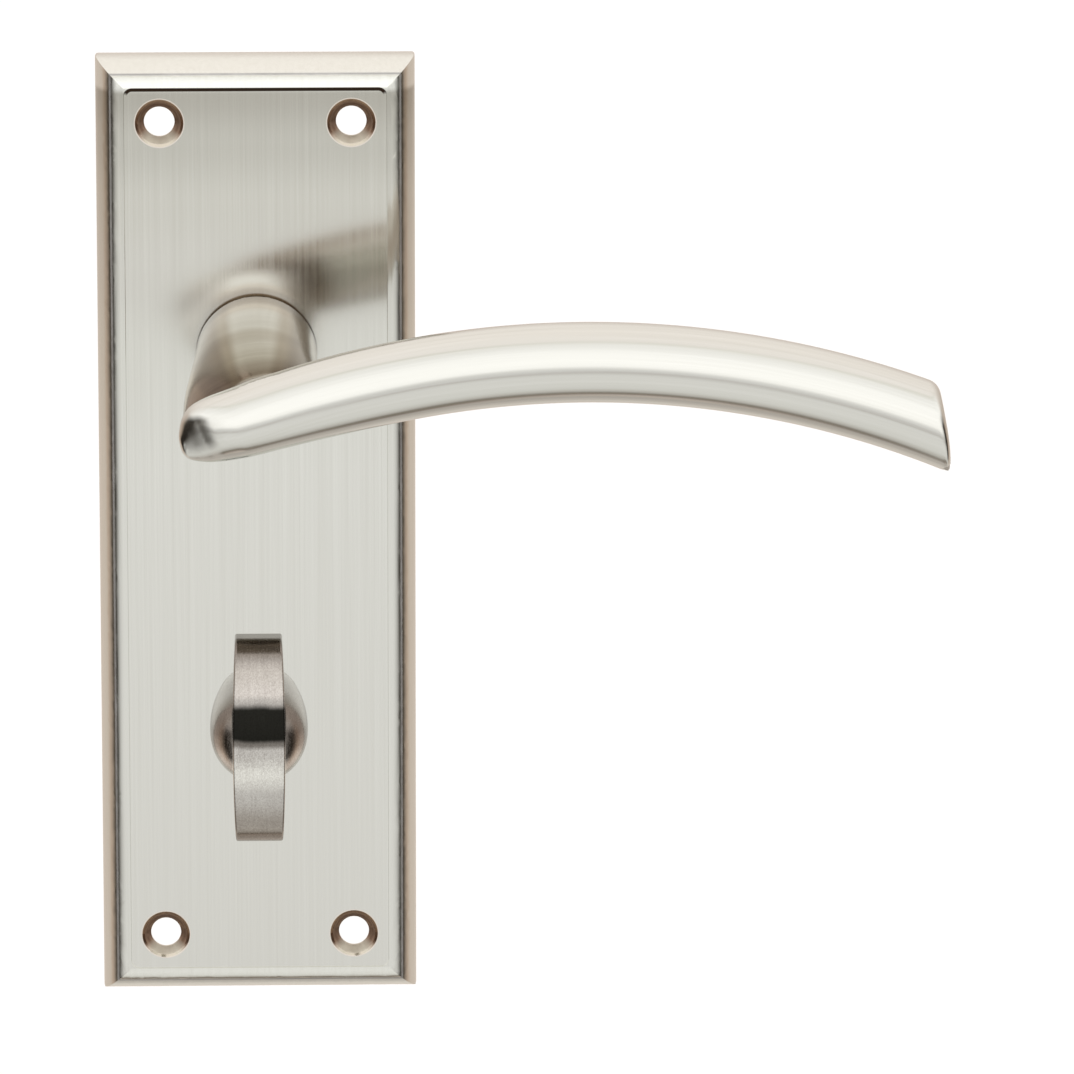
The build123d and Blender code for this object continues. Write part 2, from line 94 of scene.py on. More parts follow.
def math_n(nt, op, a, b=None, clamp=False):
    n = node(nt, "ShaderNodeMath", operation=op, use_clamp=clamp)
    for i, x in enumerate((a, b)):
        if x is None:
            continue
        if isinstance(x, (int, float)):
            n.inputs[i].default_value = x
        else:
            link(nt, x, n.inputs[i])
    return n.outputs[0]


def mixcol(nt, fac, a, b, blend="MIX"):
    n = node(nt, "ShaderNodeMix", data_type="RGBA", blend_type=blend)
    if isinstance(fac, (int, float)):
        n.inputs[0].default_value = fac
    else:
        link(nt, fac, n.inputs[0])
    for i, x in ((6, a), (7, b)):
        if isinstance(x, tuple):
            n.inputs[i].default_value = (*x, 1)
        else:
            link(nt, x, n.inputs[i])
    return n.outputs[2]


def bump(nt, bsdf, height, strength, dist, normal=None):
    n = node(nt, "ShaderNodeBump")
    n.inputs["Strength"].default_value = strength
    n.inputs["Distance"].default_value = dist
    link(nt, height, n.inputs["Height"])
    if normal is not None:
        link(nt, normal, n.inputs["Normal"])
    if bsdf is not None:
        link(nt, n.outputs[0], bsdf.inputs["Normal"])
    return n.outputs[0]


def obj_coord(nt):
    return node(nt, "ShaderNodeTexCoord").outputs["Object"]


def combine(nt, x, y, z):
    n = node(nt, "ShaderNodeCombineXYZ")
    for i, v in enumerate((x, y, z)):
        if isinstance(v, (int, float)):
            n.inputs[i].default_value = v
        else:
            link(nt, v, n.inputs[i])
    return n.outputs[0]


def to_world(nt, vec):
    n = node(nt, "ShaderNodeVectorTransform", vector_type="VECTOR", convert_from="OBJECT", convert_to="WORLD")
    link(nt, vec, n.inputs[0])
    return n.outputs[0]


def vmath(nt, op, a, b=None):
    n = node(nt, "ShaderNodeVectorMath", operation=op)
    for i, x in enumerate((a, b)):
        if x is None:
            continue
        if isinstance(x, tuple):
            n.inputs[i].default_value = x
        else:
            link(nt, x, n.inputs[i])
    return n.outputs[0]


def obj_normal(nt):
    geo = node(nt, "ShaderNodeNewGeometry")
    tr = node(nt, "ShaderNodeVectorTransform", vector_type="NORMAL", convert_from="WORLD", convert_to="OBJECT")
    link(nt, geo.outputs["Normal"], tr.inputs[0])
    s = node(nt, "ShaderNodeSeparateXYZ")
    link(nt, tr.outputs[0], s.inputs[0])
    return s.outputs


def xyz(nt):
    s = node(nt, "ShaderNodeSeparateXYZ")
    link(nt, obj_coord(nt), s.inputs[0])
    return s.outputs


def ramp(nt, src, stops):
    r = node(nt, "ShaderNodeValToRGB")
    link(nt, src, r.inputs[0])
    cr = r.color_ramp
    cr.interpolation = "EASE"
    while len(cr.elements) > 1:
        cr.elements.remove(cr.elements[-1])
    cr.elements[0].position = stops[0][0]
    cr.elements[0].color = (*stops[0][1], 1)
    for p, c in stops[1:]:
        e = cr.elements.new(p)
        e.color = (*c, 1)
    return r.outputs[0]


def mul(nt, *fs):
    out = fs[0]
    for f in fs[1:]:
        out = math_n(nt, "MULTIPLY", out, f)
    return out


def parts_of(m):
    nt = m.node_tree
    b = next(n for n in nt.nodes if n.type == "BSDF_PRINCIPLED")
    return nt, b, b.inputs["Base Color"].links[0].from_socket, b.inputs["Roughness"].links[0].from_socket


# ------------------------------------------------------------------ satin nickel
NICKEL = (0.668, 0.662, 0.602)
NICKEL_D = (0.610, 0.600, 0.538)


def satin(name, coords, aniso, rough, tangent=None, streak=0.10, bump_d=0.000004, base=NICKEL, dark=NICKEL_D):
    """coords: function(nt) -> vector whose X runs across the brush lines in metres, Y along them."""
    m, nt, b = new_mat(name)
    v = coords(nt)
    fine = noise(nt, mapping(nt, v, (5200, 26, 5200)), 1.0, 3.0, 0.6)
    mid = noise(nt, mapping(nt, v, (1300, 9, 1300), (3.1, 1.7, 0.4)), 1.0, 2.0, 0.5)
    broad = noise(nt, mapping(nt, v, (90, 14, 90), (7.1, 2.2, 5.0)), 1.0, 2.0, 0.5)
    lines = math_n(nt, "ADD", math_n(nt, "MULTIPLY", fine, 0.55), math_n(nt, "MULTIPLY", mid, 0.45))
    fac = maprange(nt, lines, 0.32, 0.68, 0.0, 1.0)
    col = mixcol(nt, fac, dark, base)
    col = mixcol(nt, maprange(nt, broad, 0.35, 0.65, 0.0, 0.16), col, tuple(c * 0.93 for c in base))
    link(nt, col, b.inputs["Base Color"])
    link(nt, maprange(nt, lines, 0.3, 0.7, rough - streak * 0.5, rough + streak * 0.5), b.inputs["Roughness"])
    b.inputs["Metallic"].default_value = 1.0
    b.inputs["Anisotropic"].default_value = aniso
    if tangent is not None:
        link(nt, to_world(nt, tangent(nt)), b.inputs["Tangent"])
    bump(nt, b, lines, 0.35, bump_d)
    return m


def plate_coords(nt):
    s = node(nt, "ShaderNodeSeparateXYZ")
    link(nt, obj_coord(nt), s.inputs[0])
    return combine(nt, s.outputs[0], s.outputs[2], s.outputs[1])


def arc_polar(nt):
    """radius, arc length and depth along the arm's arc."""
    s = node(nt, "ShaderNodeSeparateXYZ")
    link(nt, obj_coord(nt), s.inputs[0])
    dx = math_n(nt, "SUBTRACT", s.outputs[0], 50.4 * mm)
    dz = math_n(nt, "SUBTRACT", s.outputs[2], -137.8 * mm)
    r = math_n(nt, "SQRT", math_n(nt, "ADD", math_n(nt, "MULTIPLY", dx, dx), math_n(nt, "MULTIPLY", dz, dz)))
    th = math_n(nt, "ARCTAN2", dx, dz)
    return s, r, th


def lever_coords(nt):
    s, r, th = arc_polar(nt)
    along = math_n(nt, "MULTIPLY", th, 146.2 * mm)
    # on the neck the brush lines run round it instead
    neck = maprange(nt, s.outputs[1], -0.0425, -0.0385, 0.0, 1.0)
    arm_v = combine(nt, r, along, s.outputs[1])
    ang = math_n(nt, "ARCTAN2", s.outputs[0], s.outputs[2])
    neck_v = combine(nt, s.outputs[1], math_n(nt, "MULTIPLY", ang, 9.5 * mm), math_n(nt, "MULTIPLY", s.outputs[1], 0.1))
    mx = node(nt, "ShaderNodeMix", data_type="VECTOR")
    link(nt, neck, mx.inputs[0])
    link(nt, arm_v, mx.inputs[4])
    link(nt, neck_v, mx.inputs[5])
    return mx.outputs[1]


def lever_tangent(nt):
    s, r, th = arc_polar(nt)
    length = combine(nt, math_n(nt, "COSINE", th), 0.0, math_n(nt, "MULTIPLY", math_n(nt, "SINE", th), -1.0))
    geo = node(nt, "ShaderNodeNewGeometry")
    tr = node(nt, "ShaderNodeVectorTransform", vector_type="NORMAL", convert_from="WORLD", convert_to="OBJECT")
    link(nt, geo.outputs["Normal"], tr.inputs[0])
    across = vmath(nt, "CROSS_PRODUCT", tr.outputs[0], length)
    neck = maprange(nt, s.outputs[1], -0.0425, -0.0385, 0.0, 1.0)
    mx = node(nt, "ShaderNodeMix", data_type="VECTOR")
    link(nt, neck, mx.inputs[0])
    link(nt, across, mx.inputs[4])
    mx.inputs[5].default_value = (0, 1, 0)
    return mx.outputs[1]


M_PLATE = satin("plate_satin", plate_coords, 0.72, 0.15, lambda nt: combine(nt, 1.0, 0.0, 0.0), 0.06,
                base=(0.742, 0.740, 0.695), dark=(0.682, 0.675, 0.626))
M_LEVER = satin("lever_satin", lever_coords, 0.50, 0.145, lever_tangent, 0.05,
                base=(0.668, 0.662, 0.625), dark=(0.612, 0.602, 0.560))


# the plate: machined countersinks with painted shade and a painted rim highlight, a painted shade line under the top
# bevel, painted shade towards the top, the casting's skin behind
def plate_details(m):
    nt, b, col, rough = parts_of(m)
    x, y, z = xyz(nt)
    nx, ny, nz = obj_normal(nt)
    zc = math_n(nt, "ADD", z, 29.0 * mm)
    ax = math_n(nt, "SUBTRACT", math_n(nt, "ABSOLUTE", x), 15.0 * mm)
    dz = math_n(nt, "SUBTRACT", zc, math_n(nt, "MULTIPLY", math_n(nt, "SIGN", zc), 66.0 * mm))
    r = math_n(nt, "SQRT", math_n(nt, "ADD", math_n(nt, "MULTIPLY", ax, ax), math_n(nt, "MULTIPLY", dz, dz)))
    # painted shade: the face darkens towards the top, up to the top bevel
    col = mixcol(nt, 1.0, col, ramp(nt, maprange(nt, z, -20.0 * mm, 47.0 * mm, 0.0, 1.0), [
        (0.0, (1, 1, 1)), (0.30, (0.95, 0.95, 0.94)), (0.50, (0.88, 0.87, 0.86)), (0.66, (0.83, 0.82, 0.80)),
        (0.80, (0.71, 0.70, 0.675)), (0.92, (0.58, 0.565, 0.535)), (0.935, (1, 1, 1)),
    ]), "MULTIPLY")
    # inside of the casting
    inside = mul(nt, maprange(nt, math_n(nt, "ABSOLUTE", x), 22.9 * mm, 22.75 * mm, 0, 1),
                 maprange(nt, math_n(nt, "ABSOLUTE", zc), 73.9 * mm, 73.75 * mm, 0, 1),
                 maprange(nt, y, -6.20 * mm, -6.05 * mm, 0, 1))
    pebble = noise(nt, mapping(nt, obj_coord(nt), (1400, 1400, 1400)), 1.0, 4.0, 0.6)
    cloud = noise(nt, mapping(nt, obj_coord(nt), (120, 120, 120), (4, 1, 2)), 1.0, 3.0, 0.5)
    cast = mixcol(nt, maprange(nt, cloud, 0.3, 0.7, 0, 1), (0.40, 0.395, 0.385), (0.52, 0.515, 0.505))
    col = mixcol(nt, inside, col, cast)
    rin = maprange(nt, pebble, 0.3, 0.7, 0.40, 0.56)
    mr = node(nt, "ShaderNodeMix", data_type="FLOAT")
    link(nt, inside, mr.inputs[0])
    link(nt, rough, mr.inputs[2])
    link(nt, rin, mr.inputs[3])
    rough = mr.outputs[0]
    # countersinks: machining rings under painted shade, with the lower slope, which faces up, painted lighter
    cone = mul(nt, maprange(nt, r, 3.80 * mm, 3.72 * mm, 0, 1), maprange(nt, y, -4.3 * mm, -4.45 * mm, 0, 1))
    up = math_n(nt, "DIVIDE", dz, math_n(nt, "ADD", r, 0.01 * mm))
    rings = noise(nt, combine(nt, math_n(nt, "MULTIPLY", r, 2600.0), math_n(nt, "MULTIPLY", up, 1.5), 0.0), 1.0, 2.0, 0.6)
    painted_shading = mixcol(nt, maprange(nt, rings, 0.35, 0.65, 0, 1), (0.20, 0.125, 0.085), (0.34, 0.235, 0.17))
    painted_shading = mixcol(nt, maprange(nt, up, -0.85, -0.45, 0, 1), (0.62, 0.58, 0.49), painted_shading)
    col = mixcol(nt, cone, col, painted_shading)
    # painted highlight: a bright ring round each countersink's rim
    rim_highlight = mul(nt, maprange(nt, r, 3.74 * mm, 3.80 * mm, 0, 1), maprange(nt, r, 3.98 * mm, 3.90 * mm, 0, 1),
               maprange(nt, y, -6.3 * mm, -6.4 * mm, 0, 1))
    col = mixcol(nt, math_n(nt, "MULTIPLY", rim_highlight, 0.55), col, (0.86, 0.76, 0.68))
    # painted shade: a near-black line on the downward-facing slope under the top bevel, and a band on the face just
    # below it, at the top only
    shade_line = mul(nt, maprange(nt, nz, -0.12, -0.30, 0, 1), maprange(nt, z, 40.8 * mm, 41.6 * mm, 0, 1),
               maprange(nt, y, -6.3 * mm, -6.45 * mm, 0, 1))
    ux = math_n(nt, "MAXIMUM", math_n(nt, "SUBTRACT", math_n(nt, "ABSOLUTE", x), 19.2 * mm), 0.0)
    uz = math_n(nt, "MAXIMUM", math_n(nt, "SUBTRACT", zc, 70.2 * mm), 0.0)
    ul = math_n(nt, "SQRT", math_n(nt, "ADD", math_n(nt, "MULTIPLY", ux, ux), math_n(nt, "MULTIPLY", uz, uz)))
    shade_band = mul(nt, maprange(nt, ul, 0.80 * mm, 0.90 * mm, 0, 1), maprange(nt, ul, 1.50 * mm, 1.40 * mm, 0, 1),
               maprange(nt, math_n(nt, "DIVIDE", uz, math_n(nt, "ADD", ul, 0.001 * mm)), 0.25, 0.6, 0, 1),
               maprange(nt, ny, -0.8, -0.95, 0, 1))
    shade_line = math_n(nt, "MAXIMUM", shade_line, shade_band)
    col = mixcol(nt, shade_line, col, (0.026, 0.016, 0.010))
    link(nt, col, b.inputs["Base Color"])
    link(nt, rough, b.inputs["Roughness"])


# painted reflection and shade on the neck: dark flanks, darker towards its foot and the arm, a painted highlight high
# on its top; brush streaks over it
def lever_details(m):
    nt, b, col, rough = parts_of(m)
    x, y, z = xyz(nt)
    axial = math_n(nt, "SQRT", math_n(nt, "ADD", math_n(nt, "MULTIPLY", x, x), math_n(nt, "MULTIPLY", z, z)))
    neck = mul(nt, maprange(nt, y, -47.2 * mm, -45.6 * mm, 0, 1), maprange(nt, axial, 13.5 * mm, 12.0 * mm, 0, 1))
    side = maprange(nt, math_n(nt, "ABSOLUTE", math_n(nt, "ARCTAN2", math_n(nt, "ADD", x, 0.5 * mm), math_n(nt, "ADD", z, 0.2 * mm))),
                    0.0, math.pi, 0.0, 1.0)
    # painted reflection: dark brown flanks with a lighter rim near the outline
    painted_flank_reflection = ramp(nt, side, [
        (0.0, (1, 1, 1)), (0.10, (1, 1, 1)), (0.175, (0.60, 0.53, 0.45)), (0.25, (0.34, 0.275, 0.22)), (0.33, (0.29, 0.235, 0.19)),
        (0.39, (0.34, 0.28, 0.225)), (0.44, (0.56, 0.48, 0.40)), (0.49, (0.66, 0.58, 0.50)), (0.60, (0.92, 0.90, 0.86)), (1.0, (0.95, 0.93, 0.90)),
    ])
    # painted highlight high on the neck, painted shade near its foot and near the arm
    q = maprange(nt, y, -47.0 * mm, -7.0 * mm, 0.0, 1.0)
    k = lambda v: (v + 47.0) / 40.0
    along = ramp(nt, q, [
        (0.0, (0.50, 0.42, 0.34)), (k(-43.5), (0.46, 0.37, 0.29)), (k(-40.5), (0.60, 0.52, 0.44)), (k(-37), (0.80, 0.75, 0.67)),
        (k(-31.5), (0.92, 0.88, 0.82)), (k(-27.5), (0.80, 0.75, 0.68)), (k(-23.5), (1.0, 0.99, 0.96)), (k(-17.5), (1.03, 1.02, 1.0)),
        (k(-13.5), (0.84, 0.75, 0.65)), (k(-10.5), (0.44, 0.35, 0.27)), (k(-7.5), (0.30, 0.22, 0.16)),
    ])
    t = mixcol(nt, 1.0, painted_flank_reflection, along, "MULTIPLY")
    bands = noise(nt, mapping(nt, obj_coord(nt), (60, 900, 60)), 1.0, 2.0, 0.5)
    t = mixcol(nt, maprange(nt, bands, 0.35, 0.65, 0.0, 0.12), t, (0.45, 0.38, 0.31))
    hair = noise(nt, mapping(nt, obj_coord(nt), (70, 5600, 70), (1, 4, 2)), 1.0, 3.0, 0.6)
    t = mixcol(nt, maprange(nt, hair, 0.34, 0.66, 0.30, 0.0), t, mixcol(nt, 1.0, t, (0.60, 0.56, 0.52), "MULTIPLY"))
    col = mixcol(nt, 1.0, col, mixcol(nt, neck, (1.0, 1.0, 1.0), t), "MULTIPLY")
    # painted shade: the arm's back edge darkens where it leaves the neck
    nx, ny, nz = obj_normal(nt)
    painted_back_shade = mul(nt, maprange(nt, ny, -0.30, 0.10, 0, 1), maprange(nt, ny, 0.80, 0.60, 0, 1), maprange(nt, nz, 0.30, 0.55, 0, 1), maprange(nt, y, -44.4 * mm, -45.2 * mm, 0, 1),
               maprange(nt, x, 44.0 * mm, 12.0 * mm, 0, 1), maprange(nt, x, -6.0 * mm, 0.0, 0, 1))
    col = mixcol(nt, 1.0, col, mixcol(nt, math_n(nt, "MULTIPLY", painted_back_shade, 0.9), (1.0, 1.0, 1.0), (0.42, 0.33, 0.26)), "MULTIPLY")
    link(nt, col, b.inputs["Base Color"])


plate_details(M_PLATE)
lever_details(M_LEVER)


# the thumb-turn: fine grain; on the blade a painted dark reflection band across the middle with a painted highlight
# below it and painted shade towards its tips; painted highlight and shade on the boss
def turn_mat():
    m, nt, b = new_mat("turn_satin")
    v = obj_coord(nt)
    x, y, z = xyz(nt)
    fine = noise(nt, mapping(nt, v, (4200, 4200, 3400)), 1.0, 3.0, 0.7)
    streak = noise(nt, mapping(nt, v, (3200, 900, 160), (1, 2, 3)), 1.0, 2.0, 0.5)
    broad = noise(nt, mapping(nt, v, (260, 260, 120), (5, 1, 7)), 1.0, 3.0, 0.55)
    mixv = math_n(nt, "ADD", math_n(nt, "MULTIPLY", fine, 0.78), math_n(nt, "MULTIPLY", streak, 0.22))
    col = mixcol(nt, maprange(nt, mixv, 0.34, 0.66, 0, 1), (0.415, 0.395, 0.375), (0.64, 0.625, 0.60))
    col = mixcol(nt, maprange(nt, broad, 0.4, 0.7, 0.0, 0.18), col, (0.36, 0.335, 0.315))
    dz = math_n(nt, "ADD", z, 57.0 * mm)
    wob = math_n(nt, "ADD", dz, math_n(nt, "MULTIPLY", math_n(nt, "SUBTRACT", broad, 0.5), 0.9 * mm))
    k = lambda v: (v + 17.0) / 34.0
    q = maprange(nt, wob, -17.0 * mm, 17.0 * mm, 0.0, 1.0)
    # painted reflection on the blade's front: highlight below the middle, near-black band just above it, shade towards
    # the tips
    painted_shading = ramp(nt, q, [
        (0.0, (0.55, 0.50, 0.46)), (k(-14.3), (0.68, 0.63, 0.58)), (k(-12.5), (0.62, 0.58, 0.54)), (k(-8.0), (0.92, 0.91, 0.89)), (k(-4.0), (1.42, 1.44, 1.40)),
        (k(-0.2), (1.0, 0.99, 0.97)), (k(0.8), (0.34, 0.32, 0.30)), (k(1.7), (0.025, 0.025, 0.022)), (k(6.2), (0.025, 0.025, 0.022)), (k(7.5), (0.62, 0.60, 0.58)),
        (k(8.6), (0.86, 0.82, 0.79)), (k(12.0), (0.78, 0.74, 0.70)), (k(14.6), (0.50, 0.46, 0.43)), (1.0, (0.20, 0.18, 0.16)),
    ])
    blade = mul(nt, math_n(nt, "MAXIMUM", maprange(nt, y, -27.6 * mm, -29.0 * mm, 0, 1), maprange(nt, math_n(nt, "ABSOLUTE", dz), 8.4 * mm, 9.6 * mm, 0, 1)),
                maprange(nt, math_n(nt, "ABSOLUTE", x), 4.3 * mm, 4.1 * mm, 0, 1))
    # painted highlight and shade on the boss beside the blade
    painted_boss_shading = ramp(nt, maprange(nt, wob, -8.0 * mm, 8.0 * mm, 0.0, 1.0), [
        (0.0, (0.66, 0.60, 0.55)), (0.18, (0.95, 0.90, 0.86)), (0.36, (1.25, 1.22, 1.18)), (0.50, (0.70, 0.66, 0.62)), (0.60, (0.48, 0.44, 0.41)),
        (0.78, (0.40, 0.365, 0.335)), (1.0, (0.22, 0.195, 0.175)),
    ])
    col = mixcol(nt, 1.0, col, mixcol(nt, blade, painted_boss_shading, painted_shading), "MULTIPLY")
    link(nt, col, b.inputs["Base Color"])
    link(nt, maprange(nt, mixv, 0.3, 0.7, 0.15, 0.30), b.inputs["Roughness"])
    b.inputs["Metallic"].default_value = 1.0
    bump(nt, b, mixv, 0.4, 0.000012)
    return m


def grain_mat(name, base, dark, rough, scale, metal=1.0, bump_d=0.00001, bump_s=0.4, spread=0.1):
    m, nt, b = new_mat(name)
    v = obj_coord(nt)
    n1 = noise(nt, mapping(nt, v, (scale, scale, scale)), 1.0, 4.0, 0.65)
    n2 = noise(nt, mapping(nt, v, (scale * 0.08,) * 3, (2.0, 5.0, 1.0)), 1.0, 3.0, 0.5)
    link(nt, mixcol(nt, maprange(nt, n2, 0.35, 0.65, 0, 1), dark, base), b.inputs["Base Color"])
    link(nt, maprange(nt, n1, 0.3, 0.7, rough - spread / 2, rough + spread / 2), b.inputs["Roughness"])
    b.inputs["Metallic"].default_value = metal
    bump(nt, b, n1, bump_s, bump_d)
    return m


M_TURN = turn_mat()
M_ZINC = grain_mat("zinc_plate", (0.70, 0.71, 0.72), (0.60, 0.615, 0.63), 0.30, 1500)
M_SPRING = grain_mat("spring_steel", (0.26, 0.25, 0.24), (0.19, 0.18, 0.175), 0.34, 2500)
M_BLACK = grain_mat("black_oxide", (0.055, 0.055, 0.06), (0.04, 0.04, 0.042), 0.42, 2500)
M_NYLON = grain_mat("nylon", (0.050, 0.047, 0.044), (0.036, 0.034, 0.032), 0.46, 900, metal=0.0, bump_s=0.15)

SLOTS = {
    "backplate": M_PLATE, "lever_handle": M_LEVER, "lever_bush": M_NYLON, "lever_thrust_washer": M_ZINC,
    "return_spring": M_SPRING, "spring_cam_plate": M_ZINC, "lever_circlip": M_SPRING, "lever_spindle": M_ZINC,
    "lever_grub_screw": M_BLACK, "thumb_turn": M_TURN, "turn_bush": M_NYLON, "turn_wave_washer": M_SPRING,
    "turn_washer": M_ZINC, "turn_circlip": M_SPRING, "turn_spindle": M_ZINC,
}
for k, m in SLOTS.items():
    o = N[k]
    o.data.materials.clear()
    o.data.materials.append(m)
N["thumb_turn"].visible_glossy = False


# ------------------------------------------------------------------ the lever casting as one smooth skin
ARC_X, ARC_Z = 50.4, -137.8
ARM = np.array([
    (-24.98, 146.40, 0.80, 0.45, -49.6), (-24.86, 146.65, 1.75, 0.82, -49.6), (-24.60, 146.95, 2.70, 1.20, -49.55),
    (-24.12, 147.32, 3.85, 1.88, -49.5), (-23.47, 147.46, 4.72, 2.76, -49.5), (-22.56, 147.28, 5.20, 3.90, -49.5),
    (-21.25, 146.92, 5.52, 4.58, -49.5), (-19.40, 146.65, 5.75, 4.70, -49.5), (-17.20, 146.45, 5.97, 4.70, -49.5),
    (-14.50, 146.28, 6.14, 4.70, -49.5), (-11.00, 146.20, 6.22, 4.70, -49.5), (-5.00, 146.20, 6.23, 4.70, -49.5),
    (0.00, 146.20, 6.22, 4.70, -49.5), (6.00, 146.20, 6.20, 4.70, -49.5), (12.00, 146.20, 6.18, 4.70, -49.5),
    (18.00, 146.20, 6.15, 4.70, -49.5), (26.00, 146.20, 6.12, 4.70, -49.5),
])
NECK = np.array([
    (-49.0, -0.80, -0.1, 10.9, 3.6, 20.5), (-44.0, -0.85, -0.75, 11.0, 5.5, 20.0), (-35.0, -0.70, -0.6, 10.85, 7.40, 16.0),
    (-24.0, -0.35, -0.2, 10.10, 8.80, 8.0), (-14.0, -0.10, 0.0, 9.62, 9.40, 2.0), (-7.0, 0.0, 0.0, 9.5, 9.5, 0.0),
])
TIP = -25.03


def pchip(x, y):
    """monotone cubic through the table, returned as a function"""
    h = np.diff(x)
    d = np.diff(y) / h
    m = np.zeros_like(y)
    m[0], m[-1] = d[0], d[-1]
    for i in range(1, len(x) - 1):
        if d[i - 1] * d[i] > 0:
            w1, w2 = 2 * h[i] + h[i - 1], h[i] + 2 * h[i - 1]
            m[i] = (w1 + w2) / (w1 / d[i - 1] + w2 / d[i])

    def f(q):
        q = np.clip(q, x[0], x[-1])
        i = np.clip(np.searchsorted(x, q) - 1, 0, len(x) - 2)
        u = (q - x[i]) / h[i]
        return ((1 + 2 * u) * (1 - u) ** 2 * y[i] + u * (1 - u) ** 2 * h[i] * m[i]
                + u * u * (3 - 2 * u) * y[i + 1] + u * u * (u - 1) * h[i] * m[i + 1])
    return f


S_ARM = np.sqrt(ARM[:, 0] - TIP)
ARM_F = [pchip(np.concatenate(([0.0], S_ARM)), np.concatenate(([v0], ARM[:, c]))) for c, v0 in ((1, 146.25), (2, 0.02), (3, 0.02), (4, -49.6))]
NECK_F = [pchip(NECK[:, 0], NECK[:, c]) for c in range(1, 6)]


def q_arm(P):
    dx, dz = P[:, 0] - ARC_X, P[:, 2] - ARC_Z
    r = np.hypot(dx, dz)
    s = np.sqrt(np.clip(np.degrees(np.arctan2(dx, dz)) - TIP, 0.0, 60.0))
    rm, hh, hd, ym = (f(s) for f in ARM_F)
    return np.sqrt(((r - rm) / hh) ** 2 + ((P[:, 1] - ym) / hd) ** 2)


def q_neck(P):
    cx, cz, hx, hz, rot = (f(P[:, 1]) for f in NECK_F)
    a = np.radians(rot)
    dx, dz = P[:, 0] - cx, P[:, 2] - cz
    return np.sqrt(((dx * np.cos(a) + dz * np.sin(a)) / hx) ** 2 + ((dz * np.cos(a) - dx * np.sin(a)) / hz) ** 2)


def grad(f, P, h=0.004):
    G = np.empty_like(P)
    for i in range(3):
        e = np.zeros(3)
        e[i] = h
        G[:, i] = (f(P + e) - f(P - e)) / (2 * h)
    return G


def dist(q, P):
    g = np.linalg.norm(grad(q, P), axis=1)
    return (q(P) - 1.0) / np.maximum(g, 0.02)


def smin(a, b, k):
    h = np.clip(0.5 + 0.5 * (b - a) / k, 0, 1)
    return b * (1 - h) + a * h - k * h * (1 - h)


def smax(a, b, k):
    return -smin(-a, -b, k)


END_N = np.array([math.cos(math.radians(10.2)), 0, math.sin(math.radians(10.2))])
END_P = np.array([105.4, -49.5, -2.05])


def lever_f(P):
    arm = smax(dist(q_arm, P), (P - END_P) @ END_N, 1.5)
    arm = smax(arm, P[:, 0] - 106.15, 0.9)
    neck = smax(dist(q_neck, P), P[:, 1] + 7.15, 0.5)
    neck = np.maximum(neck, -48.5 - P[:, 1])
    # the join: a crisp line round the heel, a swept fillet, then a tight valley; nearly sharp underneath
    sm = lambda v: np.clip(v, 0, 1) ** 2 * (3 - 2 * np.clip(v, 0, 1))
    r = np.hypot(P[:, 0] - ARC_X, P[:, 2] - ARC_Z)
    k = 0.35 + 2.6 * sm((P[:, 0] + 6.0) / 5.0) * (1 - sm((P[:, 0] - 1.0) / 5.0)) * sm((r - 145.2) / 3.0)
    return smin(arm, neck, k)


def loops_mesh(rings):
    """closed tube through rings of points"""
    n = len(rings[0])
    vs = [tuple(p) for r in rings for p in r]
    fs = []
    for i in range(len(rings) - 1):
        for j in range(n):
            k = (j + 1) % n
            fs.append((i * n + j, i * n + k, (i + 1) * n + k, (i + 1) * n + j))
    fs.append(tuple(range(n))[::-1])
    fs.append(tuple((len(rings) - 1) * n + j for j in range(n)))
    return vs, fs


def lever_skin(voxel):
    a = np.linspace(0, 2 * np.pi, 56, endpoint=False)
    rings = []
    s_end = math.sqrt(22.6 - TIP)
    for s in np.concatenate((np.linspace(0.12, 1.6, 18), np.linspace(1.75, s_end, 70))):
        rm, hh, hd, ym = (float(f(np.array([s]))[0]) for f in ARM_F)
        t = math.radians(s * s + TIP)
        r = rm + hh * np.cos(a)
        rings.append(np.stack((ARC_X + r * math.sin(t), ym + hd * np.sin(a), ARC_Z + r * math.cos(t)), 1))
    v1, f1 = loops_mesh(rings)
    rings = []
    for y in np.linspace(-7.15, -48.0, 40):
        cx, cz, hx, hz, rot = (float(f(np.array([y]))[0]) for f in NECK_F)
        c, s = math.cos(math.radians(rot)), math.sin(math.radians(rot))
        rings.append(np.stack((cx + hx * np.cos(a) * c - hz * np.sin(a) * s, np.full(len(a), y), cz + hx * np.cos(a) * s + hz * np.sin(a) * c), 1))
    v2, f2 = loops_mesh(rings)
    me = bpy.data.meshes.new("lever_base")
    me.from_pydata(v1 + v2, [], f1 + [tuple(i + len(v1) for i in f) for f in f2])
    bm = bmesh.new()
    bm.from_mesh(me)
    bmesh.ops.recalc_face_normals(bm, faces=bm.faces)
    bm.to_mesh(me)
    bm.free()
    o = bpy.data.objects.new("lever_base", me)
    bpy.context.scene.collection.objects.link(o)
    md = o.modifiers.new("r", "REMESH")
    md.mode = "VOXEL"
    md.voxel_size = voxel
    md.adaptivity = 0.0
    dg = bpy.context.evaluated_depsgraph_get()
    out = bpy.data.meshes.new_from_object(o.evaluated_get(dg))
    bpy.data.objects.remove(o)
    P = np.empty(len(out.vertices) * 3)
    out.vertices.foreach_get("co", P)
    P = P.reshape(-1, 3)
    for it in range(7):
        f = lever_f(P)
        G = grad(lever_f, P)
        P = P - G * (np.clip(f, -0.6, 0.6) / np.maximum((G ** 2).sum(1), 0.05))[:, None]
    out.vertices.foreach_set("co", P.ravel())
    out.update()
    return out


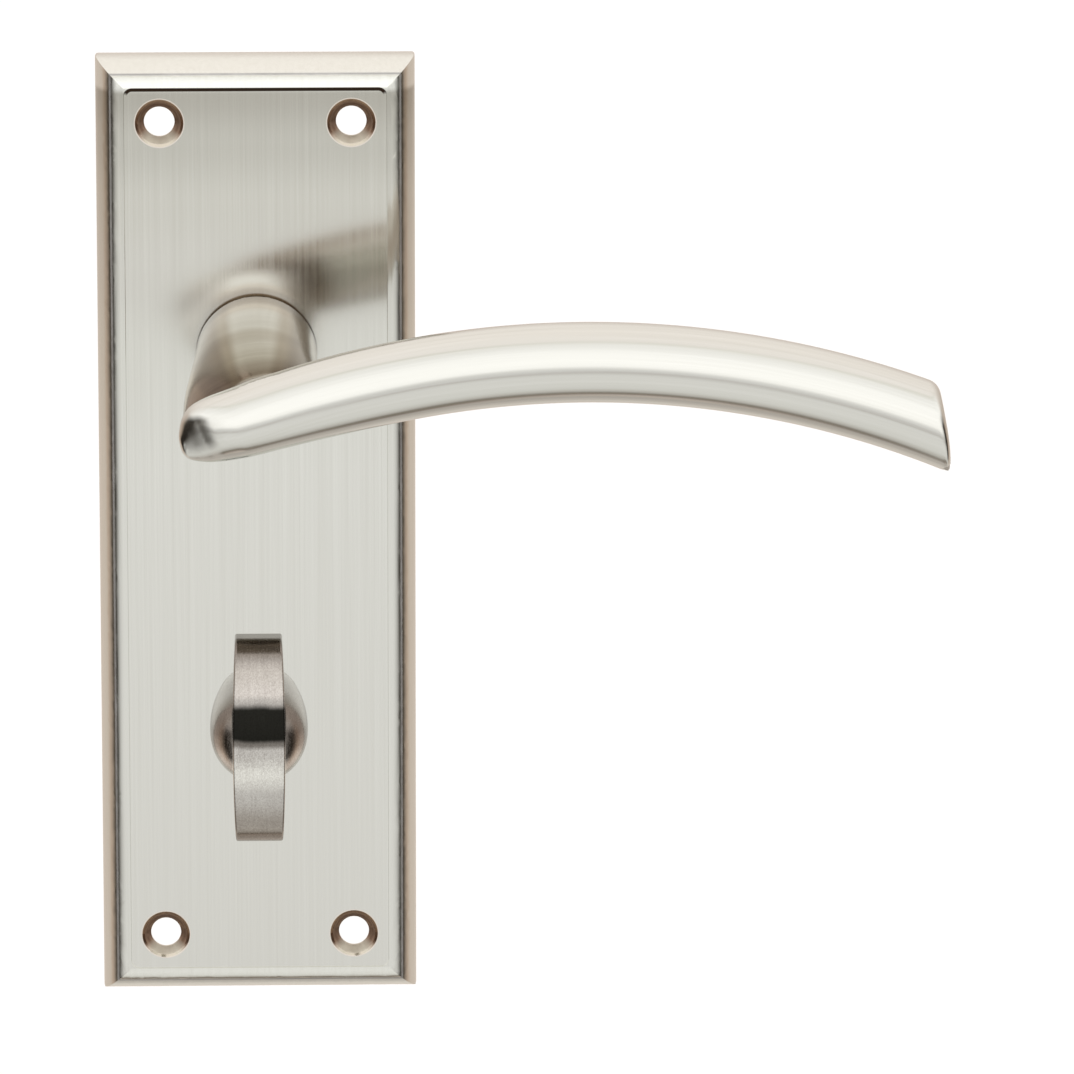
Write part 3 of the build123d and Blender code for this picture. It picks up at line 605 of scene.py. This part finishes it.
def set_normals(me, f, scale=1.0, tol=0.03, agree=0.45):
    """smooth normals from the surface's own gradient; faces of a cut keep their flat normals"""
    n = len(me.vertices)
    P = np.empty(n * 3)
    me.vertices.foreach_get("co", P)
    P = P.reshape(-1, 3) / scale
    G = grad(f, P)
    G /= np.maximum(np.linalg.norm(G, axis=1), 1e-9)[:, None]
    on = np.abs(f(P)) < tol
    lv = np.empty(len(me.loops), dtype=np.int32)
    me.loops.foreach_get("vertex_index", lv)
    ls = np.empty(len(me.polygons), dtype=np.int32)
    lt = np.empty(len(me.polygons), dtype=np.int32)
    me.polygons.foreach_get("loop_start", ls)
    me.polygons.foreach_get("loop_total", lt)
    pn = np.empty(len(me.polygons) * 3)
    me.polygons.foreach_get("normal", pn)
    pn = np.repeat(pn.reshape(-1, 3), lt, axis=0)
    N = G[lv]
    use = on[lv] & ((N * pn).sum(1) > agree)
    N = np.where(use[:, None], N, pn)
    me.polygons.foreach_set("use_smooth", np.ones(len(me.polygons), dtype=bool))
    me.normals_split_custom_set(N.tolist())


def lever_visual():
    cad = N["lever_handle"]
    me = lever_skin(0.42)
    o = bpy.data.objects.new("lever_casting", me)
    bpy.context.scene.collection.objects.link(o)
    # grub-screw hole from below
    hole = bpy.data.meshes.new("hole")
    bm = bmesh.new()
    bmesh.ops.create_cone(bm, cap_ends=True, segments=64, radius1=2.5, radius2=2.5, depth=9.0, matrix=Matrix.Translation((0, -15.0, -7.5)))
    bm.to_mesh(hole)
    bm.free()
    ho = bpy.data.objects.new("hole", hole)
    bpy.context.scene.collection.objects.link(ho)
    md = o.modifiers.new("b", "BOOLEAN")
    md.operation, md.solver, md.object = "DIFFERENCE", "EXACT", ho
    cut = bpy.data.meshes.new_from_object(o.evaluated_get(bpy.context.evaluated_depsgraph_get()))
    bpy.data.objects.remove(ho)
    o.modifiers.clear()
    o.data = cut
    set_normals(cut, lever_f)
    cut.transform(Matrix.Scale(mm, 4))
    # the journal behind the neck's foot, from the casting's own shape
    bm = bmesh.new()
    bm.from_mesh(cad.data)
    bmesh.ops.bisect_plane(bm, geom=bm.verts[:] + bm.edges[:] + bm.faces[:], plane_co=(0, -7.12 * mm, 0), plane_no=(0, 1, 0), clear_inner=True)
    jm = bpy.data.meshes.new("lever_journal")
    bm.to_mesh(jm)
    bm.free()
    j = bpy.data.objects.new("lever_journal", jm)
    bpy.context.scene.collection.objects.link(j)
    for ob in (o, j):
        ob.data.materials.clear()
        ob.data.materials.append(M_LEVER)
        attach(ob, "lever")
    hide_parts("lever_handle")
    return o


lever_visual()


# ------------------------------------------------------------------ floor
def floor():
    me = bpy.data.meshes.new("floor")
    bm = bmesh.new()
    s = 6.0
    z = -0.30
    vs = [bm.verts.new(p) for p in ((-s, -s, z), (s, -s, z), (s, s, z), (-s, s, z))]
    bm.faces.new(vs)
    bm.to_mesh(me)
    bm.free()
    o = bpy.data.objects.new("floor", me)
    bpy.context.scene.collection.objects.link(o)
    m, nt, b = new_mat("floor_pale")
    b.inputs["Base Color"].default_value = (0.90, 0.915, 0.93, 1)
    b.inputs["Roughness"].default_value = 0.9
    me.materials.append(m)
    o.visible_glossy = False
    return o


floor()


# pale wall all round, far off; seen by the camera only, so it changes no light or reflection
def wall():
    me = bpy.data.meshes.new("wall")
    bm = bmesh.new()
    r, z0, z1, n = 5.9, -0.30, 9.0, 72
    lo = [bm.verts.new((r * math.cos(2 * math.pi * i / n), r * math.sin(2 * math.pi * i / n), z0)) for i in range(n)]
    hi = [bm.verts.new((v.co.x, v.co.y, z1)) for v in lo]
    for i in range(n):
        j = (i + 1) % n
        bm.faces.new((lo[i], hi[i], hi[j], lo[j]))
    bm.to_mesh(me)
    bm.free()
    o = bpy.data.objects.new("wall", me)
    bpy.context.scene.collection.objects.link(o)
    m, nt, b = new_mat("wall_pale")
    b.inputs["Base Color"].default_value = (0.0, 0.0, 0.0, 1)
    b.inputs["Emission Color"].default_value = (1.0, 1.0, 1.0, 1)
    b.inputs["Emission Strength"].default_value = 3.0
    me.materials.append(m)
    o.visible_diffuse = False
    o.visible_glossy = False
    o.visible_transmission = False
    o.visible_volume_scatter = False
    o.visible_shadow = False
    return o


wall()

# ------------------------------------------------------------------ studio world: a soft surround
w = bpy.data.worlds.new("studio")
bpy.context.scene.world = w
w.use_nodes = True
nt = w.node_tree
for n in list(nt.nodes):
    nt.nodes.remove(n)
out = nt.nodes.new("ShaderNodeOutputWorld")
bg = nt.nodes.new("ShaderNodeBackground")
link(nt, bg.outputs[0], out.inputs[0])
tc = node(nt, "ShaderNodeTexCoord")
sep = node(nt, "ShaderNodeSeparateXYZ")
link(nt, tc.outputs["Generated"], sep.inputs[0])


def ramp_node(src, stops, interp="LINEAR"):
    r = node(nt, "ShaderNodeValToRGB")
    link(nt, src, r.inputs[0])
    cr = r.color_ramp
    cr.interpolation = interp
    while len(cr.elements) > 1:
        cr.elements.remove(cr.elements[-1])
    cr.elements[0].position = stops[0][0]
    cr.elements[0].color = (*stops[0][1], 1)
    for p, c in stops[1:]:
        e = cr.elements.new(p)
        e.color = (*c, 1)
    return r.outputs[0]


def el(deg):
    """ramp position of an elevation"""
    return (math.sin(math.radians(deg)) + 1) / 2


# elevation profile in front: pale floor, a dark line at its far edge, a white soft box above, a warmer ceiling
front_ramp = ramp_node(maprange(nt, sep.outputs[2], -1.0, 1.0, 0.0, 1.0), [
    (el(-90), (0.80, 0.71, 0.64)), (el(-83.5), (0.66, 0.58, 0.51)), (el(-80), (0.26, 0.22, 0.18)), (el(-75), (0.24, 0.205, 0.17)),
    (el(-71), (0.70, 0.68, 0.64)), (el(-60), (0.94, 0.94, 0.91)), (el(-40), (1.03, 1.03, 1.01)), (el(-24), (1.0, 1.0, 0.985)),
    (el(-21.5), (0.72, 0.70, 0.68)), (el(-19), (0.72, 0.70, 0.68)), (el(-17.2), (0.945, 0.94, 0.93)), (el(-13.5), (0.95, 0.95, 0.94)),
    (el(-11.0), (1.02, 1.02, 1.01)), (el(-9), (1.48, 1.48, 1.46)), (el(4), (1.56, 1.56, 1.55)), (el(24), (1.48, 1.48, 1.47)),
    (el(40), (1.30, 1.30, 1.29)), (el(47.5), (1.24, 1.23, 1.20)), (el(49.5), (1.08, 1.07, 1.00)), (el(52), (1.08, 1.07, 1.00)),
    (el(54), (1.26, 1.21, 1.18)), (el(66), (1.25, 1.20, 1.16)), (el(90), (1.24, 1.18, 1.13)),
])
# profile behind and beside the object: tan walls
back_ramp = ramp_node(maprange(nt, sep.outputs[2], -1.0, 1.0, 0.0, 1.0), [
    (el(-90), (0.60, 0.56, 0.52)), (el(-60), (0.86, 0.80, 0.74)), (el(-15), (0.76, 0.66, 0.58)), (el(0), (0.73, 0.64, 0.57)),
    (el(20), (0.90, 0.82, 0.76)), (el(50), (1.20, 1.14, 1.09)), (el(90), (1.24, 1.18, 1.13)),
])
hyp = math_n(nt, "SQRT", math_n(nt, "ADD", math_n(nt, "MULTIPLY", sep.outputs[0], sep.outputs[0]),
                                math_n(nt, "MULTIPLY", sep.outputs[1], sep.outputs[1])))
front = math_n(nt, "DIVIDE", math_n(nt, "MULTIPLY", sep.outputs[1], -1.0), math_n(nt, "ADD", hyp, 0.0001))
azim = math_n(nt, "MULTIPLY", math_n(nt, "ARCCOSINE", front), 57.2958)
isback = maprange(nt, azim, 62.0, 100.0, 0.0, 1.0)
base_env = mixcol(nt, isback, front_ramp, back_ramp)
# two dark flags at the sides, low down
flag = ramp_node(maprange(nt, azim, 0.0, 180.0, 0.0, 1.0), [
    (0.0, (1.0, 1.0, 1.0)), (26 / 180, (1.0, 1.0, 1.0)), (36 / 180, (0.93, 0.93, 0.925)), (46 / 180, (0.76, 0.755, 0.75)),
    (54 / 180, (0.46, 0.455, 0.45)), (60 / 180, (0.16, 0.15, 0.14)), (64 / 180, (0.035, 0.03, 0.025)), (79 / 180, (0.035, 0.03, 0.025)),
    (86 / 180, (0.24, 0.21, 0.18)), (93 / 180, (0.55, 0.49, 0.44)), (104 / 180, (0.84, 0.76, 0.70)), (116 / 180, (1.0, 1.0, 1.0)),
])
low = maprange(nt, sep.outputs[2], math.sin(math.radians(4)), math.sin(math.radians(22)), 1.0, 0.0)
deep = maprange(nt, sep.outputs[2], math.sin(math.radians(-62)), math.sin(math.radians(-40)), 0.0, 1.0)
flag_mix = mixcol(nt, math_n(nt, "MULTIPLY", low, deep), (1.0, 1.0, 1.0), flag)
col = mixcol(nt, 1.0, base_env, flag_mix, "MULTIPLY")
link(nt, col, bg.inputs[0])
bg.inputs[1].default_value = 1.0


# ------------------------------------------------------------------ camera, solved from the plate's outline
cam = bpy.data.cameras.new("cam")
co = bpy.data.objects.new("cam", cam)
bpy.context.scene.collection.objects.link(co)
bpy.context.scene.camera = co
cam.sensor_fit = "HORIZONTAL"
cam.sensor_width = 36.0
cam.lens = 309.003
cam.clip_start, cam.clip_end = 0.05, 50
C = Vector((-0.37, -1418.09, 356.95 - 29.0)) * mm
fwd = Vector((0.03053, 0.96888, -0.24566)).normalized()
up = Vector((0.00612, 0.24559, 0.96936))
up = (up - fwd * up.dot(fwd)).normalized()
right = fwd.cross(up).normalized()
co.matrix_world = Matrix((
    (right.x, up.x, -fwd.x, C.x),
    (right.y, up.y, -fwd.y, C.y),
    (right.z, up.z, -fwd.z, C.z),
    (0, 0, 0, 1),
))
bpy.context.scene.view_settings.view_transform = "Standard"
bpy.context.scene.view_settings.look = "None"
bpy.context.scene.view_settings.exposure = 0.0
bpy.context.scene.view_settings.gamma = 1.0

bpy.context.view_layer.update()
